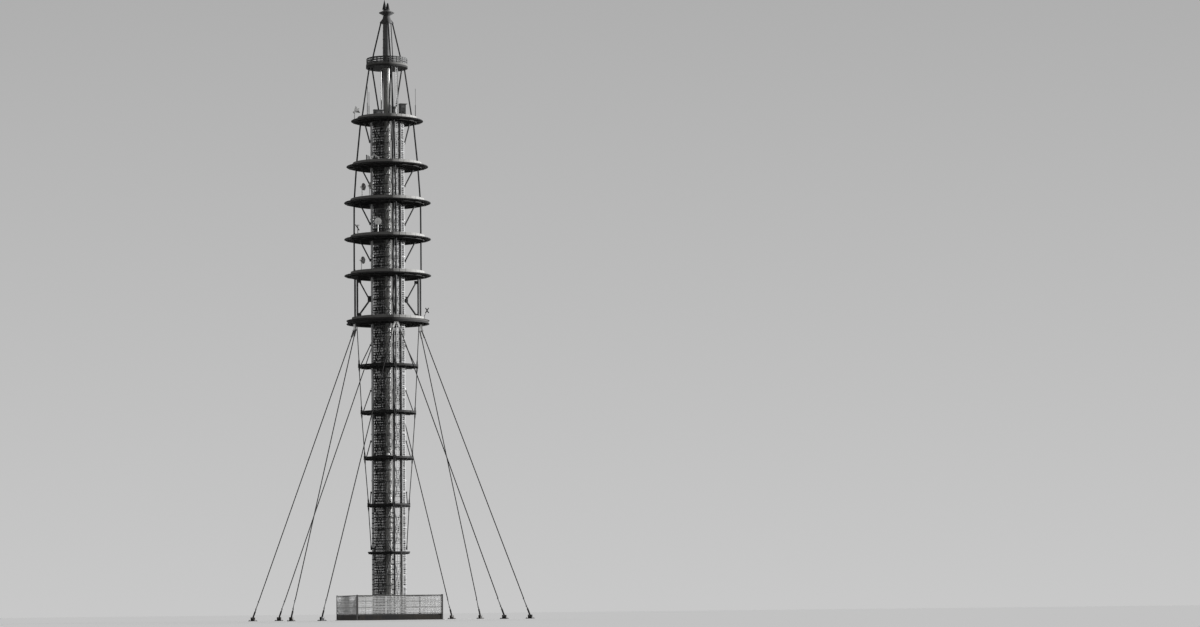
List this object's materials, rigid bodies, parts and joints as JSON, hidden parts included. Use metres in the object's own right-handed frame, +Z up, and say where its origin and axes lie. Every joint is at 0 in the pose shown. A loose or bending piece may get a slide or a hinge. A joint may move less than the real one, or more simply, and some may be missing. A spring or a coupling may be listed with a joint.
{
  "type": "guyed radio mast, 1:2 scale model",
  "caption": "Guyed lattice radio mast with a central column, round decks, a lookout with a railing, a spire, a cage of tendons over rings, and a low screen round its foot; half-size model.",
  "frame": {"origin": "centre of the base plate's underside, on the mast's axis", "axes": "+Z up along the mast; +X, +Y, -X and -Y run through the four legs, the outer posts and the guy brackets"},
  "size_m": [15.388, 12.7262, 39.2509],
  "materials": {
    "base_steel": "matt paint, weathered",
    "column_paint": "pale satin paint, weathered",
    "leg_steel": "pale satin paint, weathered",
    "lattice_steel": "satin paint, weathered",
    "post_steel": "dark satin paint, weathered",
    "galvanised": "dull hot-dip zinc",
    "feeder_black": "matt black sheath",
    "ring_steel": "matt dark paint",
    "deck_steel": "matt dark paint, pale kerb",
    "spire_paint": "satin paint",
    "head_steel": "matt dark paint",
    "lamp_metal": "satin paint",
    "guy_strand": "greased strand",
    "screen_boards": "pale matt paint",
    "screen_steel": "matt dark paint",
    "dish_shell": "pale satin paint",
    "cabinet_paint": "satin paint",
    "whip_metal": "dull"
  },
  "bodies": {
    "root": {"base_plate": "base_steel", "column_lower": "column_paint", "column_upper": "column_paint", "spire": "spire_paint", "head_collar": "head_steel", "head_hat": "head_steel", "head_lamp": "lamp_metal", "leg_west": "leg_steel", "leg_south": "leg_steel", "leg_east": "leg_steel", "leg_north": "leg_steel", "lattice_southwest": "lattice_steel", "lattice_southeast": "lattice_steel", "lattice_northeast": "lattice_steel", "lattice_northwest": "lattice_steel", "climbing_ladder": "galvanised", "cable_ladder": "galvanised", "feeder_rack": "feeder_black", "risers": "feeder_black", "ring_1": "ring_steel", "ring_2": "ring_steel", "ring_3": "ring_steel", "ring_4": "ring_steel", "ring_5": "ring_steel", "deck_1": "deck_steel", "deck_2": "deck_steel", "deck_3": "deck_steel", "deck_4": "deck_steel", "deck_5": "deck_steel", "deck_6": "deck_steel", "lookout_deck": "deck_steel", "lookout_railing": "galvanised", "outer_posts": "post_steel", "knee_braces": "post_steel", "tendons": "guy_strand", "ring_braces": "post_steel", "head_stays": "post_steel", "guy_brackets": "head_steel", "guys_west": "guy_strand", "guys_south": "guy_strand", "guys_east": "guy_strand", "guys_north": "guy_strand", "anchor_shoes": "base_steel", "floor_frame": "base_steel", "screen_west": "screen_boards", "screen_south": "screen_boards", "screen_east": "screen_boards", "screen_north": "screen_boards", "screen_posts": "screen_steel", "dishes": "dish_shell", "cabinets": "cabinet_paint", "whips": "whip_metal"}
  },
  "joints": []
}
